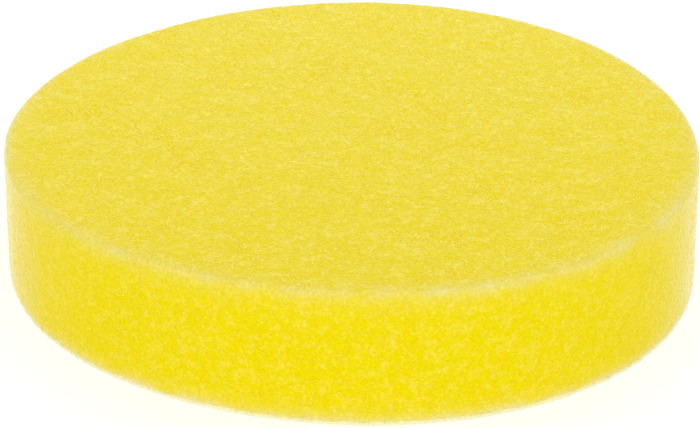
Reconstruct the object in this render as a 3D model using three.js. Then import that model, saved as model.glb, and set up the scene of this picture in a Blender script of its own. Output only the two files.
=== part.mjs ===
// Round foam polishing sponge with a hook-and-loop backing.
//
// Millimetres, +Z up. The origin is the centre of the backing's outer face, the one that
// grips a backing plate, and +Z is the axis of the disc, towards the working face.
//
// The sponge is three layers, laminated into a sheet and then cut out in one stroke:
//   loop_backing     knitted loop fabric that grips the hooks of a backing plate
//   adhesive_layer   hot-melt film that bonds the fabric to the foam
//   foam_disc        open-cell polyurethane foam

import * as THREE from 'three';

// ---- Driving dimensions ----

const DISC_DIAMETER = 150;
const DISC_HEIGHT = 30;            // from the backing's outer face to the working face

const BACKING_THICKNESS = 0.7;     // the knitted ground and its short pile of loops
const BACKING_INSET = 0.5;         // how far the fabric shrinks back from the cut edge
const ADHESIVE_THICKNESS = 0.2;
const ADHESIVE_INSET = 0.25;

const WORKING_EDGE_RADIUS = 2.4;   // the soft foam rolls over where the cutter enters
const BACK_EDGE_RADIUS = 0.6;      // and less where the film holds it
const FABRIC_EDGE_RADIUS = 0.2;

const AROUND = 96;                 // straight sides round the disc
const EDGE_STEPS = 6;              // straight steps over each rounded edge

// ---- Heights and radii that follow from them ----

const DISC_RADIUS = DISC_DIAMETER / 2;
const ADHESIVE_BOTTOM = BACKING_THICKNESS;
const FOAM_BOTTOM = ADHESIVE_BOTTOM + ADHESIVE_THICKNESS;

// ---- Shapes ----

// The points of an arc round (x, y), from one angle to another, in degrees.
// A sharp edge has radius 0, and is one point.
function roundedEdge(x, y, radius, fromAngle, toAngle) {
  if (radius === 0) return [new THREE.Vector2(x, y)];
  const arc = new THREE.EllipseCurve(
    x, y, radius, radius,
    THREE.MathUtils.degToRad(fromAngle), THREE.MathUtils.degToRad(toAngle),
  );
  return arc.getPoints(EDGE_STEPS);
}

// A disc about the Z axis from one height to another, with rounded lower and upper edges.
function discGeometry(radius, bottom, top, lowerEdge, upperEdge) {
  const profile = [
    new THREE.Vector2(0, bottom),
    ...roundedEdge(radius - lowerEdge, bottom + lowerEdge, lowerEdge, -90, 0),
    ...roundedEdge(radius - upperEdge, top - upperEdge, upperEdge, 0, 90),
    new THREE.Vector2(0, top),
  ];
  // The lathe turns its profile about Y, so the disc is stood up with its axis along Z.
  return new THREE.LatheGeometry(profile, AROUND).rotateX(Math.PI / 2);
}

// ---- Materials ----

const foamMaterial = new THREE.MeshStandardMaterial({
  color: 0xf2dc28, roughness: 0.95, metalness: 0,
});

const adhesiveMaterial = new THREE.MeshStandardMaterial({
  color: 0xece6c4, roughness: 0.45, metalness: 0,
});

const loopMaterial = new THREE.MeshStandardMaterial({
  color: 0xf2f1ec, roughness: 0.9, metalness: 0,
});

// ---- Layers, from the back to the working face ----

function makeLoopBacking() {
  const geometry = discGeometry(
    DISC_RADIUS - BACKING_INSET, 0, BACKING_THICKNESS, FABRIC_EDGE_RADIUS, 0,
  );
  const mesh = new THREE.Mesh(geometry, loopMaterial);
  mesh.name = 'loop_backing';
  return mesh;
}

function makeAdhesiveLayer() {
  const geometry = discGeometry(
    DISC_RADIUS - ADHESIVE_INSET, ADHESIVE_BOTTOM, FOAM_BOTTOM, 0, 0,
  );
  const mesh = new THREE.Mesh(geometry, adhesiveMaterial);
  mesh.name = 'adhesive_layer';
  return mesh;
}

function makeFoamDisc() {
  const geometry = discGeometry(
    DISC_RADIUS, FOAM_BOTTOM, DISC_HEIGHT, BACK_EDGE_RADIUS, WORKING_EDGE_RADIUS,
  );
  const mesh = new THREE.Mesh(geometry, foamMaterial);
  mesh.name = 'foam_disc';
  return mesh;
}

const polishingSponge = new THREE.Group();
polishingSponge.name = 'polishing_sponge';
polishingSponge.add(makeLoopBacking(), makeAdhesiveLayer(), makeFoamDisc());

export default polishingSponge;
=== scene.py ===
"""Round foam polishing sponge: open-cell foam, a hot-melt film and a knitted loop backing."""

import math

import bpy
import numpy as np
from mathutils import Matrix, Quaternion, Vector


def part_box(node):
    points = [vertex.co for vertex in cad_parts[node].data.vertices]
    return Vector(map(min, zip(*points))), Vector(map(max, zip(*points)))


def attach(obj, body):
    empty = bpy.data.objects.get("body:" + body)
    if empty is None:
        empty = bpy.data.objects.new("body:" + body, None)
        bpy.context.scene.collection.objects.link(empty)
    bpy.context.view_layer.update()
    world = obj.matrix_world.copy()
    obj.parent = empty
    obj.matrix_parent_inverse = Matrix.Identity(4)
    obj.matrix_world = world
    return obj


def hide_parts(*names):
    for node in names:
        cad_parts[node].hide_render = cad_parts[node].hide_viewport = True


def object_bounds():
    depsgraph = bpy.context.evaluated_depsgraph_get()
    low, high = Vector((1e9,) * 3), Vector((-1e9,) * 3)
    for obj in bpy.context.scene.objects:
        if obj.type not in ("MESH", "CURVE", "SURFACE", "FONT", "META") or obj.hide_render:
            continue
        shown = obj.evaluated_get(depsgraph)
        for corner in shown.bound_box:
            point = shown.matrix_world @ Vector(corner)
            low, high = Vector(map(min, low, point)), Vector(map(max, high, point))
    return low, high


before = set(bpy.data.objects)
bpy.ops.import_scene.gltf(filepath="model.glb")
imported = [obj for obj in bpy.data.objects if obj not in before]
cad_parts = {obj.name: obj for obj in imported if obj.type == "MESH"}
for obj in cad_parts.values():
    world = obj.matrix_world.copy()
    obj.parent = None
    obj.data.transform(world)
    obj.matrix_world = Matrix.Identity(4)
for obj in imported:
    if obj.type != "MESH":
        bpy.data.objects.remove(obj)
cad_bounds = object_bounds()

MM = 0.001

# ---- Sizes that come from the frame ----

foam_low, foam_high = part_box("foam_disc")
film_low, film_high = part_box("adhesive_layer")
backing_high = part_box("loop_backing")[1]

FOAM_RADIUS = foam_high.x
FOAM_BOTTOM = foam_low.z
FOAM_TOP = foam_high.z
BACKING_RADIUS = backing_high.x

# ---- Driving dimensions of the looks ----

# The foam's cells and the struts between them.
CELL_PITCH = 0.70 * MM         # from one foam cell to the next
CELL_DEPTH = 0.05 * MM         # how far the cut cells sink under the faces, at most
SWELL_SHARE = 0.30             # of the cells, which stand proud instead
CELL_HEIGHT = 0.05 * MM
CELL_JITTER = 0.30             # how far a cell strays from its place, in cells
STRUT_COUNT = 46000            # torn strut ends that stand on the cut faces
STRUT_RADIUS = (0.22 * MM, 0.36 * MM)
STRUT_LENGTH = (0.25 * MM, 0.55 * MM)
STRUT_FACES = ((0, 1, 2), (0, 2, 3), (0, 3, 1), (1, 3, 2))   # by corner, of which 0 is the tip
STRUT_LEAN = 0.4
STRUT_SINK = 0.5               # of its radius, so that its foot is in the foam
SIDE_STRUT_SIZE = 0.45         # the cut side's struts are smaller than the face's
SIDE_STRUT_TONE = 0.60         # and less pale
TIP_TONE = 1.9                 # light shines through their thin tips more than their feet
FOOT_TONE = 0.2
SWELL_LENGTH = 14 * MM         # the cut faces rise and fall very slightly
SWELL_HEIGHT = 0.04 * MM
HIDDEN_PITCH = 3.0 * MM        # bonded faces aren't seen, so their meshes are coarse
PROFILE_SAMPLES = 4000         # places along the profile where a strut can stand

# The shape of the disc.
WORKING_EDGE = 1.6 * MM        # radius that the cut edges of the foam roll over by
BACK_EDGE = 0.2 * MM
LOBE_HEIGHT = 0.8 * MM         # the cut disc is out of round by three shallow lobes
LOBE_ANGLE = math.radians(70)
SADDLE_HEIGHT = 0.2 * MM       # and its working face is a very shallow saddle
SADDLE_ANGLE = math.radians(68)
DISC_LEAN = 0.3 * MM           # and it leans a little to one side from back to face

# The rims of the foam: pale where the cut is frayed, with a painted glow where light shines through the
# thin top rim, and painted light that lifts the shade on the lower rim by the floor.
TOP_RIM_REACH = 1.50 * MM      # how far the pale rims fade into the foam
TOP_RIM_FRAY_AND_GLOW = 0.42
BOTTOM_RIM_REACH = 0.9 * MM
# painted light: the lower rim is made paler to lift the shade by the floor
BOTTOM_RIM_PAINTED_LIGHT = 0.90
RIM_DRIFT = 0.25               # they are paler in some places than in others
RIM_DRIFT_LENGTH = 9 * MM

# The film.
FILM_RADIUS = FOAM_RADIUS - 0.05 * MM     # it is cut nearly flush with the foam
FILM_PITCH = 0.9 * MM          # along its ragged edge
FILM_RAGGED = 0.08 * MM
FILM_RAGGED_LENGTH = 3 * MM

# The knitted ground.
GROUND_RADIUS = FOAM_RADIUS - 0.10 * MM   # it is cut nearly flush too
GROUND_PITCH = 0.7 * MM        # of its mesh
GROUND_JITTER = 0.1            # how far a point of it strays, in pitches
GROUND_THICKNESS = 0.25 * MM
SHEET_ROUNDING = 0.4           # radius of its edges and the film's, as a share of thickness
WALE = 1.7 * MM                # from one column of stitches to the next
COURSE = 1.2 * MM              # from one row of stitches to the next
WALE_RELIEF = 0.04 * MM
COURSE_SHARE = 0.6             # the rows' relief, as a share of the columns'
MATTED_EDGE = 1.2 * MM         # along the cut the yarns are matted into one thick edge
MATTED_BOTTOM = 0.08 * MM      # and it reaches down to this height
FRAYED = 0.12 * MM             # how far the cut edge strays in and out
FRAYED_LENGTH = 1.8 * MM
FRAYED_REACH = 1 * MM          # how far in it is frayed and painted creamy

# The pile of loops.
LOOP_PITCH = 1.85 * MM         # between the loops of the pile
RIM_LOOP_PITCH = 0.60 * MM     # they stand close along the cut edge
RIM_LOOP_REACH = 1.20 * MM
LOOP_STRAY = 0.4               # how far a loop strays round its ring, in pitches
LOOP_INSET = 0.5               # and inwards from it, at most
LOOP_YARN = 0.10 * MM          # radius of a loop's yarn, on average
YARN_SPREAD = (0.75, 1.25)     # the thinnest yarn and the thickest, as shares of it
LOOP_SPAN = (1.0 * MM, 1.9 * MM)   # from foot to foot
LOOP_ROOT = 0.02 * MM          # how far its feet are sunk in the ground
LOOP_ROUNDNESS = 0.7           # below 1 its arch is blunter than a sine
LOOP_STEPS = 4                 # straight pieces in a loop
LOOP_SIDES = 3                 # of its tube, so that one triangle closes each end

# For the loops along the cut edge, and for all the others.
LOOP_SWING = (0.35, math.pi)   # how far a loop turns, at most, from the way round the disc
LOOP_LEAN = (0.12 * MM, 0.5 * MM)
LOOP_DROP = (0.92, 0.72)       # the least share of the height that it reaches down

SEED = 7

ROW_SHARE = math.sqrt(3) / 2   # between rows of points that are a pitch apart
FLAT = (1, 1, 0)               # times a point, its place on the plane z = 0
WAVE_SPREAD = (0.7, 1.5)       # lengths of the waves in smooth noise, as shares of its own


def spread_waves(points, wavelength, rng, count=24):
    """Smooth noise round 0, with a spread of about 1: cosine waves in random directions."""
    directions = rng.normal(size=(count, 3))
    directions /= np.linalg.norm(directions, axis=1)[:, None]
    lengths = wavelength * rng.uniform(*WAVE_SPREAD, count)
    phases = rng.uniform(0, 2 * math.pi, count)
    waves = np.cos(points @ (directions * (2 * math.pi / lengths)[:, None]).T + phases)
    return waves.sum(1) / math.sqrt(count / 2)


# ---- The foam ----


class Profile:
    """Half of a disc's section, from the middle of its top to the middle of its underside.

    It passes over both rounded edges. For each distance along it, it gives the point there
    and the outward direction."""

    def __init__(self, radius, bottom, top, lower_edge, upper_edge):
        quarter = math.pi / 2
        self.radius = radius
        self.bottom = bottom
        self.top = top
        self.lower_edge = lower_edge
        self.upper_edge = upper_edge
        self.top_end = radius - upper_edge
        self.side_start = self.top_end + upper_edge * quarter
        self.side_end = self.side_start + (top - upper_edge) - (bottom + lower_edge)
        self.bottom_start = self.side_end + lower_edge * quarter
        self.length = self.bottom_start + radius - lower_edge

    def at(self, s):
        """(r, z, outward r, outward z) at distance s."""
        if s <= self.top_end:
            return s, self.top, 0.0, 1.0
        if s < self.side_start:
            a = (s - self.top_end) / self.upper_edge
            return (
                self.top_end + self.upper_edge * math.sin(a),
                self.top - self.upper_edge * (1 - math.cos(a)),
                math.sin(a),
                math.cos(a),
            )
        if s <= self.side_end:
            return self.radius, self.top - self.upper_edge - (s - self.side_start), 1.0, 0.0
        if s < self.bottom_start:
            a = (s - self.side_end) / self.lower_edge
            return (
                self.radius - self.lower_edge * (1 - math.cos(a)),
                self.bottom + self.lower_edge * (1 - math.sin(a)),
                math.cos(a),
                -math.sin(a),
            )
        return max(0.0, self.length - s), self.bottom, 0.0, -1.0


def ring_distances(profile, spans):
    """Where the rings of points lie along the profile, and the pitch round each ring.

    Each span is the distance that it ends at and its pitch."""
    distances, pitches = [0.0], [spans[0][1]]
    for end, pitch in spans:
        start = distances[-1]
        rows = max(1, round((end - start) / (pitch * ROW_SHARE)))
        distances += [start + (end - start) * k / rows for k in range(1, rows + 1)]
        pitches += [pitch] * rows
    return distances, pitches


def stitch(first, angles_a, second, angles_b):
    """Triangles between two rings of points.

    The rings start at the indices first and second, and their angles rise."""
    turn = 2 * math.pi
    n, m = len(angles_a), len(angles_b)
    if n == 1:
        j = np.arange(m)
        return np.stack([np.full(m, first), second + j, second + (j + 1) % m], 1)
    if m == 1:
        i = np.arange(n)
        return np.stack([first + (i + 1) % n, first + i, np.full(n, second)], 1)
    long_a = np.concatenate([angles_a - turn, angles_a, angles_a + turn])
    long_b = np.concatenate([angles_b - turn, angles_b, angles_b + turn])
    i, j = np.arange(n), np.arange(m)
    next_a = long_a[n + i + 1]
    next_b = long_b[m + j + 1]
    apex_b = np.searchsorted(long_b, next_a, "left") - 1
    apex_a = np.searchsorted(long_a, next_b, "right") - 1
    on_a = np.stack([first + (i + 1) % n, first + i, second + apex_b % m], 1)
    on_b = np.stack([second + j, second + (j + 1) % m, first + apex_a % n], 1)
    return np.concatenate([on_a, on_b])


def disc_layout(profile, spans, jitter, rng):
    """Points spread over a disc's whole surface, about a pitch apart, and the triangles between.

    Gives the points, their outward directions, their distances along the profile and the
    triangles, which wind outwards."""
    points, outward, along, triangles = [], [], [], []
    distances, pitches = ring_distances(profile, spans)
    before = None
    start = 0
    for k, (s, pitch) in enumerate(zip(distances, pitches)):
        r = profile.at(s)[0]
        count = 1 if r < pitch / 4 else max(6, round(2 * math.pi * r / pitch))
        step = 2 * math.pi / count
        angles = (np.arange(count) + 0.5 * (k % 2)) * step
        gap = abs(s - distances[k - 1]) * jitter if count > 1 else 0.0
        strays = s + rng.uniform(-gap, gap, count)
        loose = angles + rng.uniform(-jitter, jitter, count) * step
        for angle, stray in zip(loose, strays):
            r, z, out_r, out_z = profile.at(min(max(stray, 0), profile.length))
            x, y = math.cos(angle), math.sin(angle)
            points.append((r * x, r * y, z))
            outward.append((out_r * x, out_r * y, out_z))
            along.append(stray)
        if before is not None:
            triangles.append(stitch(before[0], before[1], start, angles))
        before = (start, angles)
        start += count
    return (
        np.array(points),
        np.array(outward),
        np.array(along),
        np.concatenate(triangles),
    )


def bend_disc(points):
    """Moves points as a cut disc really lies: out of round, leaning, its face not quite flat."""
    angle = np.arctan2(points[:, 1], points[:, 0])
    reach = np.hypot(points[:, 0], points[:, 1]) / FOAM_RADIUS
    height = (points[:, 2] - FOAM_BOTTOM) / (FOAM_TOP - FOAM_BOTTOM)
    lobes = 1 + LOBE_HEIGHT / FOAM_RADIUS * np.cos(3 * (angle - LOBE_ANGLE)) * reach**2
    saddle = SADDLE_HEIGHT * np.cos(2 * (angle - SADDLE_ANGLE)) * reach**2
    moved = points.copy()
    moved[:, :2] *= lobes[:, None]
    moved[:, 0] += DISC_LEAN * (0.5 - height)
    moved[:, 2] += saddle * np.clip(height, 0, 1)
    return moved


def rim_fray_and_painted_glow(profile, along, points, rng):
    """How pale the foam is: most at the cut rims, whose torn cells are frayed. The top rim has a painted
    glow of light shining through it, and the lower rim painted light that lifts the shade by the floor.
    """
    upper = along - (profile.top_end + profile.upper_edge * math.pi / 4)
    lower = along - profile.bottom_start
    drift = 1 + RIM_DRIFT * spread_waves(points, RIM_DRIFT_LENGTH, rng)
    top = np.exp(-np.abs(upper) / TOP_RIM_REACH) * TOP_RIM_FRAY_AND_GLOW
    bottom = np.exp(-np.abs(lower) / BOTTOM_RIM_REACH) * BOTTOM_RIM_PAINTED_LIGHT
    return np.clip((top + bottom) * drift, 0, 1)


def mesh_object(name, points, faces):
    """A new mesh object in the scene, made of those points and faces."""
    mesh = bpy.data.meshes.new(name)
    mesh.from_pydata(points.tolist(), [], faces.tolist())
    mesh.update()
    made = bpy.data.objects.new(name, mesh)
    bpy.context.scene.collection.objects.link(made)
    return made


def keep_per_point(mesh, name, values):
    """Keeps a number for each point on the mesh, for its material to read."""
    attribute = mesh.attributes.new(name, "FLOAT", "POINT")
    attribute.data.foreach_set("value", values.astype(np.float32))


def foam_profile():
    """The foam disc's section."""
    return Profile(FOAM_RADIUS, FOAM_BOTTOM, FOAM_TOP, BACK_EDGE, WORKING_EDGE)


def make_foam():
    """The foam disc, uneven with cut cells: most sink in a little and some stand up."""
    rng = np.random.default_rng(SEED)
    profile = foam_profile()
    spans = [(profile.bottom_start, CELL_PITCH), (profile.length, HIDDEN_PITCH)]
    points, outward, along, triangles = disc_layout(profile, spans, CELL_JITTER, rng)

    seen = along < profile.bottom_start
    proud = rng.uniform(0, 1, len(points)) < SWELL_SHARE
    depth = rng.uniform(0, 1, len(points))
    height = np.where(proud, depth * CELL_HEIGHT, -depth * CELL_DEPTH) * seen
    swell = spread_waves(points, SWELL_LENGTH, rng) * SWELL_HEIGHT * seen
    points = bend_disc(points + outward * (height + swell)[:, None])

    foam = mesh_object("foam", points, triangles)
    keep_per_point(foam.data, "swell", np.clip(height / CELL_HEIGHT, -1, 1))
    face = (profile.side_start - along) / profile.upper_edge
    keep_per_point(foam.data, "face", np.clip(face, 0, 1))
    keep_per_point(foam.data, "rim", rim_fray_and_painted_glow(profile, along, points, rng))
    return foam


def strut_places(profile, rng):
    """Where the struts stand, evenly over the foam's face and side.

    Gives the points, their outward directions and their distances along the profile."""
    s = np.linspace(0, profile.bottom_start, PROFILE_SAMPLES)
    sections = np.array([profile.at(x) for x in s])
    share = np.cumsum(sections[:, 0])
    pick = np.searchsorted(share, rng.uniform(0, share[-1], STRUT_COUNT))
    r, z, out_r, out_z = sections[pick].T
    angle = rng.uniform(0, 2 * math.pi, STRUT_COUNT)
    x, y = np.cos(angle), np.sin(angle)
    roots = np.stack([r * x, r * y, z], 1)
    outward = np.stack([out_r * x, out_r * y, out_z], 1)
    return roots, outward, s[pick]


def strut_corners(roots, outward, size, rng):
    """The four corners of each strut: its tip and the three of its foot, sunk in the foam."""
    lean = rng.normal(size=(STRUT_COUNT, 3)) * STRUT_LEAN
    ahead = outward + lean - outward * (lean * outward).sum(1)[:, None]
    ahead /= np.linalg.norm(ahead, axis=1)[:, None]
    across = np.cross(ahead, rng.normal(size=(STRUT_COUNT, 3)))
    across /= np.linalg.norm(across, axis=1)[:, None]
    over = np.cross(ahead, across)
    width = (rng.uniform(*STRUT_RADIUS, STRUT_COUNT) * size)[:, None]
    length = (rng.uniform(*STRUT_LENGTH, STRUT_COUNT) * size)[:, None]
    foot = roots - outward * width * STRUT_SINK
    corners = [foot + length * ahead]
    for k in range(3):
        turn = 2 * math.pi * k / 3
        corners.append(foot + width * (across * math.cos(turn) + over * math.sin(turn)))
    return np.stack(corners, 1)


def make_struts():
    """The struts of the cut cells: small torn ends, each a three-sided pyramid on the foam."""
    rng = np.random.default_rng(SEED + 4)
    profile = foam_profile()
    roots, outward, along = strut_places(profile, rng)
    size = np.where(along > profile.top_end, SIDE_STRUT_SIZE, 1.0)
    points = bend_disc(strut_corners(roots, outward, size, rng).reshape(-1, 3))
    first = np.arange(STRUT_COUNT)[:, None] * 4
    faces = np.concatenate([first + face for face in STRUT_FACES])

    struts = mesh_object("foam_struts", points, faces)
    along = np.repeat(along, 4)
    side_tone = np.where(along > profile.side_start, SIDE_STRUT_TONE, 1.0)
    tone = rng.uniform(0, 1, STRUT_COUNT)[:, None] * (TIP_TONE, FOOT_TONE, FOOT_TONE, FOOT_TONE)
    keep_per_point(struts.data, "tone", tone.ravel() * side_tone)
    keep_per_point(struts.data, "rim", rim_fray_and_painted_glow(profile, along, points, rng))
    return struts


# ---- The film and the knitted ground ----


def make_film():
    """The hot-melt film, cut with the foam. Its edge is a little ragged, where it was smeared."""
    rng = np.random.default_rng(SEED + 1)
    edge = (film_high.z - film_low.z) * SHEET_ROUNDING
    profile = Profile(FILM_RADIUS, film_low.z, film_high.z, edge, edge)
    spans = [
        (profile.top_end - 2 * FILM_PITCH, HIDDEN_PITCH),
        (profile.bottom_start + 2 * FILM_PITCH, FILM_PITCH),
        (profile.length, HIDDEN_PITCH),
    ]
    points, _, _, triangles = disc_layout(profile, spans, 0.0, rng)
    radius = np.hypot(points[:, 0], points[:, 1])
    near_edge = np.clip((radius - FILM_RADIUS) / FILM_PITCH + 1, 0, 1)
    ragged = spread_waves(points * FLAT, FILM_RAGGED_LENGTH, rng) * FILM_RAGGED * near_edge
    points[:, :2] *= (1 + ragged / FILM_RADIUS)[:, None]
    return mesh_object("film", bend_disc(points), triangles)


def make_ground():
    """The fabric's knitted ground: columns and rows of stitches stand proud of its outer face.

    Along the cut its yarns are matted into a thicker, frayed edge."""
    rng = np.random.default_rng(SEED + 2)
    top = backing_high.z
    edge = GROUND_THICKNESS * SHEET_ROUNDING
    profile = Profile(GROUND_RADIUS, top - GROUND_THICKNESS, top, edge, edge)
    spans = [
        (profile.top_end - 2 * GROUND_PITCH, HIDDEN_PITCH),
        (profile.length, GROUND_PITCH),
    ]
    points, outward, _, triangles = disc_layout(profile, spans, GROUND_JITTER, rng)
    x, y = points[:, 0], points[:, 1]
    wales = np.cos(2 * math.pi * x / WALE)
    courses = COURSE_SHARE * np.cos(2 * math.pi * y / COURSE)
    points[:, 2] -= WALE_RELIEF * (wales + courses) * np.clip(-outward[:, 2], 0, 1)
    radius = np.hypot(x, y)
    matted = np.clip((radius - GROUND_RADIUS + MATTED_EDGE) / (MATTED_EDGE / 2), 0, 1)
    below = np.clip((top - edge - points[:, 2]) / (GROUND_THICKNESS - 2 * edge), 0, 1)
    points[:, 2] -= matted * below * (top - GROUND_THICKNESS - MATTED_BOTTOM)
    near_edge = np.clip((radius - GROUND_RADIUS) / FRAYED_REACH + 1, 0, 1)
    frayed = spread_waves(points * FLAT, FRAYED_LENGTH, rng) * FRAYED * near_edge
    points[:, :2] *= (1 + frayed / GROUND_RADIUS)[:, None]
    ground = mesh_object("knitted_ground", bend_disc(points), triangles)
    keep_per_point(ground.data, "edge", near_edge)
    return ground


# ---- The pile of loops ----


def loop_places(rng):
    """Where the loops stand: rings over the ground, closer together along its cut edge."""
    places = []
    radius = BACKING_RADIUS
    inner_edge = radius - RIM_LOOP_REACH
    while radius > 0:
        pitch = RIM_LOOP_PITCH if radius > inner_edge else LOOP_PITCH
        count = max(1, round(2 * math.pi * radius / pitch))
        angles = (np.arange(count) + rng.uniform(-LOOP_STRAY, LOOP_STRAY, count)) * (2 * math.pi / count)
        strays = radius - rng.uniform(0, LOOP_INSET, count) * pitch
        places.append(np.stack([strays * np.cos(angles), strays * np.sin(angles)], 1))
        radius -= pitch
    return np.concatenate(places)


def loops_at_rim(places):
    """Which of the loops stand along the cut edge."""
    return np.hypot(places[:, 0], places[:, 1]) > BACKING_RADIUS - RIM_LOOP_REACH


def loop_paths(places, rng):
    """Arches that leave the ground, reach down nearly to the plane z = 0 and come back."""
    count = len(places)
    root = backing_high.z - GROUND_THICKNESS
    t = np.linspace(0, 1, LOOP_STEPS + 1)[None, :]
    at_rim = loops_at_rim(places)
    tangent = np.arctan2(places[:, 1], places[:, 0]) + math.pi / 2
    swing = np.where(at_rim, *LOOP_SWING) * rng.uniform(-1, 1, count)
    turn = (tangent + swing)[:, None]
    span = rng.uniform(*LOOP_SPAN, count)[:, None]
    lean = (np.where(at_rim, *LOOP_LEAN) * rng.uniform(-1, 1, count))[:, None]
    depth = (root - LOOP_YARN) * rng.uniform(np.where(at_rim, *LOOP_DROP), 1.0)[:, None]
    arch = np.sin(math.pi * t) ** LOOP_ROUNDNESS
    ahead, aside = span * (t - 0.5), lean * arch
    x = places[:, :1] + ahead * np.cos(turn) - aside * np.sin(turn)
    y = places[:, 1:] + ahead * np.sin(turn) + aside * np.cos(turn)
    z = root + LOOP_ROOT - depth * arch
    shrink = np.minimum(1, FOAM_RADIUS / np.maximum(np.hypot(x, y), MM))
    return np.stack([x * shrink, y * shrink, z], 2)


def tubes(paths, radius):
    """Closed tubes with few sides along the paths, which have equal numbers of points."""
    count, steps, _ = paths.shape
    ahead = np.gradient(paths, axis=1)
    ahead /= np.linalg.norm(ahead, axis=2)[:, :, None]
    chord = paths[:, -1] - paths[:, 0]
    across = np.cross(chord, (0, 0, 1))
    across /= np.linalg.norm(across, axis=1)[:, None]
    across = np.broadcast_to(across[:, None], paths.shape)
    over = np.cross(ahead, across)
    over /= np.linalg.norm(over, axis=2)[:, :, None]
    rings = []
    for side in range(LOOP_SIDES):
        angle = 2 * math.pi * side / LOOP_SIDES
        spoke = across * math.cos(angle) + over * math.sin(angle)
        rings.append(paths + radius[:, None, None] * spoke)
    points = np.stack(rings, 2).reshape(-1, 3)

    first = np.arange(count)[:, None] * (steps * LOOP_SIDES)
    faces = []
    for step in range(steps - 1):
        for side in range(LOOP_SIDES):
            a = step * LOOP_SIDES + side
            b = step * LOOP_SIDES + (side + 1) % LOOP_SIDES
            c, d = b + LOOP_SIDES, a + LOOP_SIDES
            faces += [first + (a, b, c), first + (a, c, d)]
    last = (steps - 1) * LOOP_SIDES
    faces += [first + (2, 1, 0), first + (last, last + 1, last + 2)]
    return points, np.concatenate(faces)


def make_pile():
    """The pile: thousands of loops of yarn, each with its own direction, size and tone."""
    rng = np.random.default_rng(SEED + 3)
    places = loop_places(rng)
    paths = loop_paths(places, rng)
    yarn = LOOP_YARN * rng.uniform(*YARN_SPREAD, len(paths))
    points, faces = tubes(paths, yarn)
    pile = mesh_object("loop_pile", bend_disc(points), faces)
    points_each = (LOOP_STEPS + 1) * LOOP_SIDES
    tone = np.repeat(rng.uniform(0, 1, len(paths)), points_each)
    keep_per_point(pile.data, "tone", tone)
    edge = np.repeat(loops_at_rim(places).astype(float), points_each)
    keep_per_point(pile.data, "edge", edge)
    return pile


# ---- Materials ----


# Places of the Mix node's colour sockets, which share their names with others.
MIX_COLOUR_A = 6
MIX_COLOUR_B = 7
MIX_COLOUR_RESULT = 2
NOISE_RANGE = (0.3, 0.7)       # soft noise seldom leaves it


class Shader:
    """A material's nodes, built by short calls. Most of them return the socket they make."""

    def __init__(self, name):
        self.material = bpy.data.materials.new(name)
        self.material.use_nodes = True
        self.tree = self.material.node_tree
        self.tree.nodes.clear()
        coordinates = self.tree.nodes.new("ShaderNodeTexCoord")
        self.place = coordinates.outputs["Object"]

    def node(self, kind, settings=(), **inputs):
        """A node with those settings, and with its inputs fed by name, _ for a space."""
        made = self.tree.nodes.new(kind)
        for key, value in dict(settings).items():
            setattr(made, key, value)
        for key, value in inputs.items():
            self.feed(made.inputs[key.replace("_", " ")], value)
        return made

    def feed(self, socket, value):
        """Links the socket to another one, or sets it to a plain value."""
        if isinstance(value, bpy.types.NodeSocket):
            self.tree.links.new(value, socket)
        else:
            socket.default_value = value

    def noise(self, size, detail=0.0, roughness=0.5):
        """Soft noise between 0 and 1, whose blotches are about that size."""
        made = self.node(
            "ShaderNodeTexNoise",
            Vector=self.place,
            Scale=1 / size,
            Detail=detail,
            Roughness=roughness,
        )
        return made.outputs["Fac"]

    def cells(self, size):
        """Cells of that size: the distance from a cell's middle, and its own random colour."""
        made = self.node("ShaderNodeTexVoronoi", Vector=self.place, Scale=1 / size)
        return made.outputs["Distance"], made.outputs["Color"]

    def math(self, operation, a, b=0.0, clamp=False):
        """Arithmetic on one or two numbers, such as ADD or SINE."""
        made = self.node("ShaderNodeMath", {"operation": operation, "use_clamp": clamp})
        self.feed(made.inputs[0], a)
        self.feed(made.inputs[1], b)
        return made.outputs[0]

    def remap(self, value, low, high, to_low=0.0, to_high=1.0, smooth=False):
        """Stretches the range from low to high over a new one, and clamps it there."""
        made = self.node(
            "ShaderNodeMapRange",
            {"interpolation_type": "SMOOTHSTEP" if smooth else "LINEAR"},
            Value=value,
            From_Min=low,
            From_Max=high,
            To_Min=to_low,
            To_Max=to_high,
        )
        return made.outputs["Result"]

    def spread(self, noise, to_low, to_high):
        """Stretches soft noise over a new range."""
        return self.remap(noise, *NOISE_RANGE, to_low, to_high)

    def swing(self, noise, reach):
        """Stretches soft noise from minus to plus that reach."""
        return self.spread(noise, -reach, reach)

    def blend(self, factor, a, b):
        """From colour a, where the factor is 0, to colour b, where it is 1."""
        made = self.node("ShaderNodeMix", {"data_type": "RGBA"})
        self.feed(made.inputs["Factor"], factor)
        self.feed(made.inputs[MIX_COLOUR_A], a)
        self.feed(made.inputs[MIX_COLOUR_B], b)
        return made.outputs[MIX_COLOUR_RESULT]

    def scale(self, colour, factor):
        """The colour, lighter or darker by that factor."""
        made = self.node("ShaderNodeVectorMath", {"operation": "SCALE"})
        self.feed(made.inputs[0], colour)
        self.feed(made.inputs["Scale"], factor)
        return made.outputs[0]

    def attribute(self, name):
        """A number that the mesh keeps for each of its points."""
        made = self.node("ShaderNodeAttribute", {"attribute_name": name})
        return made.outputs["Fac"]

    def bump(self, height, distance):
        """Fine relief, as high as that distance."""
        made = self.node("ShaderNodeBump", Height=height, Distance=distance, Strength=1.0)
        return made.outputs["Normal"]

    def finish(self, **inputs):
        """The whole material, with a Principled shader that has those inputs."""
        shader = self.node("ShaderNodeBsdfPrincipled", **inputs)
        out = self.node("ShaderNodeOutputMaterial")
        self.tree.links.new(shader.outputs["BSDF"], out.inputs["Surface"])
        return self.material


FOAM_WARM = (0.875, 0.685, 0.000, 1)
FOAM_COOL = (0.845, 0.705, 0.000, 1)
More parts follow.
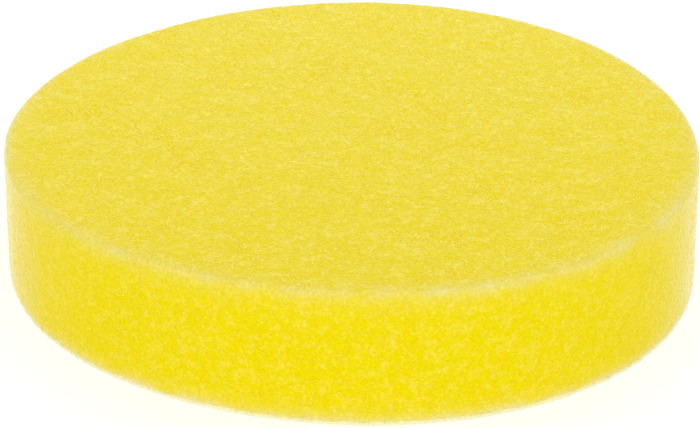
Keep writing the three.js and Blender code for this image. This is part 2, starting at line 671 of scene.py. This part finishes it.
# pale foam: partly its own tone, partly painted highlight where struts catch the light
FOAM_PALE_AND_HIGHLIGHT = (0.930, 0.780, 0.110, 1)
# the rims: the frayed cut's colour, with painted glow and painted light
FOAM_RIM_FRAY_AND_GLOW = (0.840, 0.790, 0.480, 1)
FOAM_GLINT = (0.960, 0.890, 0.500, 1)
FOAM_SHEEN = 0.28              # roughness of the pale veil that it has at a low angle

HUE_SIZE = 1.3 * MM            # of the patches of warmer and cooler yellow
BLOTCH_SIZE = 2.2 * MM         # of the pale and deep patches
BLOTCH_PALENESS = 0.17
SPOT_SIZE = 0.85 * MM          # of the spots in them
SPOT_PALENESS = 0.28
SUNK_PAINTED_SHADE = -0.05          # painted shade, of the cells that sink most
PROUD_PAINTED_HIGHLIGHT = 0.10          # and painted highlight, of those that stand most proud
FACE_CONTRAST = 2.1            # the sliced working face is more mottled than the cut side, partly with painted sheen
FACE_PALENESS = -0.02          # and it is painted deeper, painted shade that takes back some of the pale sheen on it
SIDE_PALENESS = 0.04
FACE_DRIFT_SIZE = 5 * MM       # the working face is paler and deeper in broad patches
FACE_DRIFT = 0.10
GLINT_CELL = 0.60 * MM
GLINT_RARITY = 0.975           # share of the cells that have no glint
GLINT_STRENGTH = 0.5
GRAIN_SIZE = 0.55 * MM
FOAM_BUMP = 0.03 * MM


def foam_paleness_and_painted_light(shader, spots):
    """How pale the foam is, from patches, spots and the height of its cells: partly its own tone, partly
    painted highlight where struts catch the light, and painted shade in the sunk cells. Deep is 0.
    """
    patches = shader.swing(shader.noise(BLOTCH_SIZE), BLOTCH_PALENESS)
    swell = shader.attribute("swell")
    # painted shade in the sunk cells, painted highlight on the proud ones
    height = shader.remap(swell, -1.0, 1.0, SUNK_PAINTED_SHADE, PROUD_PAINTED_HIGHLIGHT)
    pale = shader.math("ADD", shader.swing(spots, SPOT_PALENESS), patches)
    pale = shader.math("ADD", height, pale)

    face = shader.attribute("face")
    # painted shade and sheen: the face is deeper than the side and more mottled
    contrast = shader.remap(face, 0.0, 1.0, 1.0, FACE_CONTRAST)
    base = shader.remap(face, 0.0, 1.0, SIDE_PALENESS, FACE_PALENESS)
    pale = shader.math("ADD", shader.math("MULTIPLY", pale, contrast), base)
    drift = shader.swing(shader.noise(FACE_DRIFT_SIZE), FACE_DRIFT)
    pale = shader.math("ADD", pale, shader.math("MULTIPLY", drift, face))
    return shader.math("MAXIMUM", pale, 0.0)


def foam_glints(shader):
    """How strongly a torn strut glints: in the middle of a few cells, and 0 elsewhere."""
    distance, random = shader.cells(GLINT_CELL)
    lone = shader.node("ShaderNodeSeparateColor", Color=random)
    strength = shader.remap(lone.outputs["Green"], GLINT_RARITY, 1.0, 0.0, GLINT_STRENGTH)
    return shader.math("MULTIPLY", strength, shader.remap(distance, 0.50, 0.10))


def foam_material():
    """Open-cell foam: deep yellow with painted shade in the open cells, pale with painted highlight
    where struts catch the light.

    The cut rims are palest: frayed, with painted glow and painted light on them. Here and there a torn
    strut glints."""
    shader = Shader("open_cell_foam")
    hue = shader.remap(shader.noise(HUE_SIZE, detail=1.0), 0.35, 0.65)
    deep = shader.blend(hue, FOAM_WARM, FOAM_COOL)
    spots = shader.noise(SPOT_SIZE, detail=1.0, roughness=0.60)
    colour = shader.blend(foam_paleness_and_painted_light(shader, spots), deep, FOAM_PALE_AND_HIGHLIGHT)

    uneven = shader.spread(spots, 0.6, 1.0)
    rim = shader.math("MULTIPLY", shader.attribute("rim"), uneven)
    colour = shader.blend(rim, colour, FOAM_RIM_FRAY_AND_GLOW)
    colour = shader.blend(foam_glints(shader), colour, FOAM_GLINT)
    grain = shader.noise(GRAIN_SIZE, detail=1.0)
    colour = shader.scale(colour, shader.spread(grain, 0.95, 1.05))
    return shader.finish(
        Base_Color=colour,
        Roughness=shader.spread(spots, 0.36, 0.26),
        IOR=1.06,
        Normal=shader.bump(shader.math("ADD", grain, spots), FOAM_BUMP),
        Sheen_Weight=1.0,
        Sheen_Roughness=FOAM_SHEEN,
    )


STRUT_DEEP = (0.950, 0.775, 0.000, 1)
STRUT_PALE = (1.000, 0.910, 0.400, 1)
STRUT_GRAIN_SIZE = 0.30 * MM
STRUT_GRAIN = 0.2


def strut_material():
    """The foam's struts: a clear yellow, paler where the light shines through their thin tips."""
    shader = Shader("foam_struts")
    tone = shader.math("POWER", shader.attribute("tone"), 2.0)
    grain = shader.swing(shader.noise(STRUT_GRAIN_SIZE, detail=1.0), STRUT_GRAIN)
    light = shader.math("ADD", tone, grain, clamp=True)
    colour = shader.blend(light, STRUT_DEEP, STRUT_PALE)
    # the rims, as on the foam: frayed, with painted glow and painted light
    colour = shader.blend(shader.attribute("rim"), colour, FOAM_RIM_FRAY_AND_GLOW)
    return shader.finish(
        Base_Color=colour,
        Roughness=shader.remap(light, 0.0, 1.0, 0.60, 0.40),
        IOR=1.1,
        Sheen_Weight=0.8,
        Sheen_Roughness=FOAM_SHEEN,
    )


FILM_CLEAR = (0.96, 0.88, 0.36, 1)
FILM_CLOUDY = (0.98, 0.92, 0.55, 1)
CLOUD_SIZE = 2.2 * MM
BUBBLE_SIZE = 0.7 * MM
FILM_BUMP = 0.03 * MM


def film_material():
    """Hot-melt film: cloudy cream, with the foam showing through it, and small trapped bubbles."""
    shader = Shader("hot_melt_film")
    cloud = shader.remap(shader.noise(CLOUD_SIZE, detail=3.0), 0.35, 0.65)
    colour = shader.blend(cloud, FILM_CLEAR, FILM_CLOUDY)
    bubble, _ = shader.cells(BUBBLE_SIZE)
    colour = shader.scale(colour, shader.remap(bubble, 0.1, 0.5, 1.04, 0.96))
    return shader.finish(
        Base_Color=colour,
        Roughness=shader.remap(cloud, 0.0, 1.0, 0.35, 0.60),
        IOR=1.45,
        Normal=shader.bump(shader.math("ADD", bubble, cloud), FILM_BUMP),
    )


YARN_SHADE = (0.88, 0.85, 0.68, 1)
YARN_LIGHT = (0.98, 0.96, 0.84, 1)
FABRIC_EDGE_PAINTED_LIGHT = (1.00, 0.95, 0.42, 1)
STITCH_SLANT = 1.4             # how steeply a stitch's legs rise, in courses across a wale
STITCH_LIGHT = 0.8
FABRIC_DRIFT_SIZE = 9 * MM
FABRIC_DRIFT = 0.15
FIBRE_SIZE = 0.10 * MM
FIBRE_RELIEF = 0.3             # of the stitches' own
STITCH_BUMP = 0.10 * MM


def stitches(shader):
    """Rows of V-shaped knit stitches, from 0 between the yarns to 1 on top of them."""
    place = shader.node("ShaderNodeSeparateXYZ", Vector=shader.place)
    column = shader.math("DIVIDE", place.outputs["X"], WALE)
    from_middle = shader.math("SUBTRACT", shader.math("FRACT", column), 0.5)
    within = shader.math("ABSOLUTE", from_middle)
    row = shader.math("DIVIDE", place.outputs["Y"], COURSE)
    slant = shader.math("MULTIPLY", within, STITCH_SLANT)
    phase = shader.math("MULTIPLY", shader.math("ADD", row, slant), 2 * math.pi)
    yarn = shader.remap(shader.math("SINE", phase), -1.0, 1.0)
    leg = shader.math("ABSOLUTE", shader.math("SUBTRACT", within, 0.25))
    rounded = shader.remap(leg, 0.25, 0.05, 0.0, 1.0, smooth=True)
    return shader.math("MULTIPLY", yarn, rounded)


def ground_material():
    """Knitted nylon: off-white stitches in rows, with painted shade between yarns, a little darker and
    yellower there.

    Its cut edge is painted creamy yellow and light, to lift the shade at the foot of the sponge."""
    shader = Shader("knitted_nylon")
    stitch_height = stitches(shader)
    drift = shader.noise(FABRIC_DRIFT_SIZE, detail=3.0)
    drift = shader.remap(drift, 0.35, 0.65, -FABRIC_DRIFT, FABRIC_DRIFT)
    # painted shade between the yarns, painted light on their tops
    stitch_light = shader.math("MULTIPLY", stitch_height, STITCH_LIGHT)
    light = shader.math("ADD", stitch_light, drift, clamp=True)
    colour = shader.blend(light, YARN_SHADE, YARN_LIGHT)
    # painted light along the cut edge, which lifts the shade by the floor
    edge_painted_light = shader.math("POWER", shader.attribute("edge"), 2.0)
    colour = shader.blend(edge_painted_light, colour, FABRIC_EDGE_PAINTED_LIGHT)
    fibres = shader.noise(FIBRE_SIZE, detail=2.0)
    colour = shader.scale(colour, shader.spread(fibres, 0.95, 1.03))
    fibre_relief = shader.math("MULTIPLY", fibres, FIBRE_RELIEF)
    relief = shader.math("ADD", stitch_height, fibre_relief)
    return shader.finish(
        Base_Color=colour,
        Roughness=shader.remap(stitch_height, 0.0, 1.0, 0.75, 0.55),
        Normal=shader.bump(relief, STITCH_BUMP),
        Sheen_Weight=0.3,
        Sheen_Roughness=0.4,
    )


LOOP_SHADE = (0.90, 0.89, 0.80, 1)
LOOP_LIGHT = (0.97, 0.96, 0.90, 1)
RIM_LOOP_SHADE = (0.95, 0.93, 0.60, 1)   # the loops at the rim are painted creamy and lighter, light that lifts the shade by the floor
RIM_LOOP_LIGHT = (0.98, 0.97, 0.78, 1)
STRAND_SIZE = 0.06 * MM
STRAND_TONE = 0.3
STRAND_BUMP = 0.03 * MM


def pile_material():
    """Nylon loops: bright off-white yarn, each loop of its own tone, finely stranded."""
    shader = Shader("nylon_loops")
    tone = shader.attribute("tone")
    strands = shader.noise(STRAND_SIZE, detail=2.0)
    light = shader.math("ADD", tone, shader.swing(strands, STRAND_TONE), clamp=True)
    plain_loops = shader.blend(light, LOOP_SHADE, LOOP_LIGHT)
    # painted light on the loops at the rim: lighter and creamier
    rim_painted_light = shader.blend(light, RIM_LOOP_SHADE, RIM_LOOP_LIGHT)
    colour = shader.blend(shader.attribute("edge"), plain_loops, rim_painted_light)
    return shader.finish(
        Base_Color=colour,
        Roughness=shader.spread(strands, 0.60, 0.42),
        Normal=shader.bump(strands, STRAND_BUMP),
        Sheen_Weight=0.3,
        Sheen_Roughness=0.4,
    )


# ---- Stage, light and camera ----

FLOOR_REACH = 6.0
FLOOR_GLOW = 0.43              # it keeps the floor white round the object, as in a light tent
FLOOR_GLOW_COLOUR = (0.92, 0.94, 1.0, 1)
FLOOR_GREY = (0.68, 0.72)      # its grain, from the darkest to the lightest
PAPER_GRAIN_SIZE = 1.5 * MM

FRONT_LIGHT = 0.90             # radiance of each soft box
OVERHEAD_LIGHT = 0.38
REAR_LIGHT = 1.75
COOL_WHITE = (0.65, 0.74, 1.00)   # colour of the rear one
WORLD_LIGHT = 0.73

CAMERA_DISTANCE = 0.700        # from the middle of the part's box
CAMERA_ELEVATION = math.radians(25.9)
CAMERA_ROLL = math.radians(0.6)
CAMERA_LENS = 164.5
CAMERA_AIM = Vector((-1.05 * MM, 0, -4.45 * MM))   # from the same middle


def make_floor():
    """White paper, which glows a little."""
    corners = [(-1, -1), (1, -1), (1, 1), (-1, 1)]
    mesh = bpy.data.meshes.new("floor")
    mesh.from_pydata(
        [(x * FLOOR_REACH, y * FLOOR_REACH, 0) for x, y in corners],
        [],
        [(0, 1, 2, 3)],
    )
    floor = bpy.data.objects.new("floor", mesh)
    bpy.context.scene.collection.objects.link(floor)
    paper = Shader("white_paper")
    grain = paper.noise(PAPER_GRAIN_SIZE, detail=2.0)
    white = paper.scale((1.0, 1.0, 1.0), paper.spread(grain, *FLOOR_GREY))
    mesh.materials.append(
        paper.finish(
            Base_Color=white,
            Roughness=0.9,
            Emission_Color=FLOOR_GLOW_COLOUR,
            Emission_Strength=FLOOR_GLOW,
        )
    )


def soft_box(name, place, width, height, radiance, colour=(1, 1, 1)):
    """A pale panel that faces the origin and lights the object, and that the camera can't see."""
    light = bpy.data.lights.new(name, "AREA")
    light.shape = "RECTANGLE"
    light.size = width
    light.size_y = height
    light.energy = radiance * math.pi * width * height
    light.color = colour
    lamp = bpy.data.objects.new(name, light)
    lamp.location = place
    lamp.rotation_mode = "QUATERNION"
    lamp.rotation_quaternion = (-Vector(place)).to_track_quat("-Z", "Y")
    lamp.visible_camera = False
    bpy.context.scene.collection.objects.link(lamp)


def make_light():
    """A white room with soft boxes overhead, in front and low behind the object."""
    world = bpy.data.worlds.new("studio")
    bpy.context.scene.world = world
    world.use_nodes = True
    background = world.node_tree.nodes["Background"]
    background.inputs["Color"].default_value = (1, 1, 1, 1)
    background.inputs["Strength"].default_value = WORLD_LIGHT
    bpy.context.scene.view_settings.view_transform = "Standard"
    soft_box("overhead", (0, 0, 1.2), 1.0, 1.0, OVERHEAD_LIGHT)
    soft_box("front", (0, -1.2, 0.9), 1.6, 1.2, FRONT_LIGHT)
    soft_box("rear", (0, 0.32, 0.13), 0.8, 0.16, REAR_LIGHT, COOL_WHITE)


def make_camera():
    """A camera in front of the object, looking down on its working face."""
    middle = Vector((0, 0, (cad_bounds[0].z + cad_bounds[1].z) / 2))
    back = Vector((0, -math.cos(CAMERA_ELEVATION), math.sin(CAMERA_ELEVATION)))
    target = middle + CAMERA_AIM
    data = bpy.data.cameras.new("camera")
    data.lens = CAMERA_LENS
    data.clip_start = 0.05
    data.clip_end = 50
    camera = bpy.data.objects.new("camera", data)
    camera.location = middle + back * CAMERA_DISTANCE
    camera.rotation_mode = "QUATERNION"
    look = (target - camera.location).to_track_quat("-Z", "Y")
    camera.rotation_quaternion = look @ Quaternion((0, 0, 1), CAMERA_ROLL)
    bpy.context.scene.collection.objects.link(camera)
    bpy.context.scene.camera = camera


# ---- The pieces, all on the one body ----

foam = make_foam()
foam.data.materials.append(foam_material())
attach(foam, "root")
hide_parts("foam_disc")

struts = make_struts()
struts.data.materials.append(strut_material())
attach(struts, "root")

film = make_film()
film.data.materials.append(film_material())
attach(film, "root")
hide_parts("adhesive_layer")

pile = make_pile()
pile.data.materials.append(pile_material())
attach(pile, "root")

ground = make_ground()
ground.data.materials.append(ground_material())
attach(ground, "root")
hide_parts("loop_backing")

make_floor()
make_light()
make_camera()
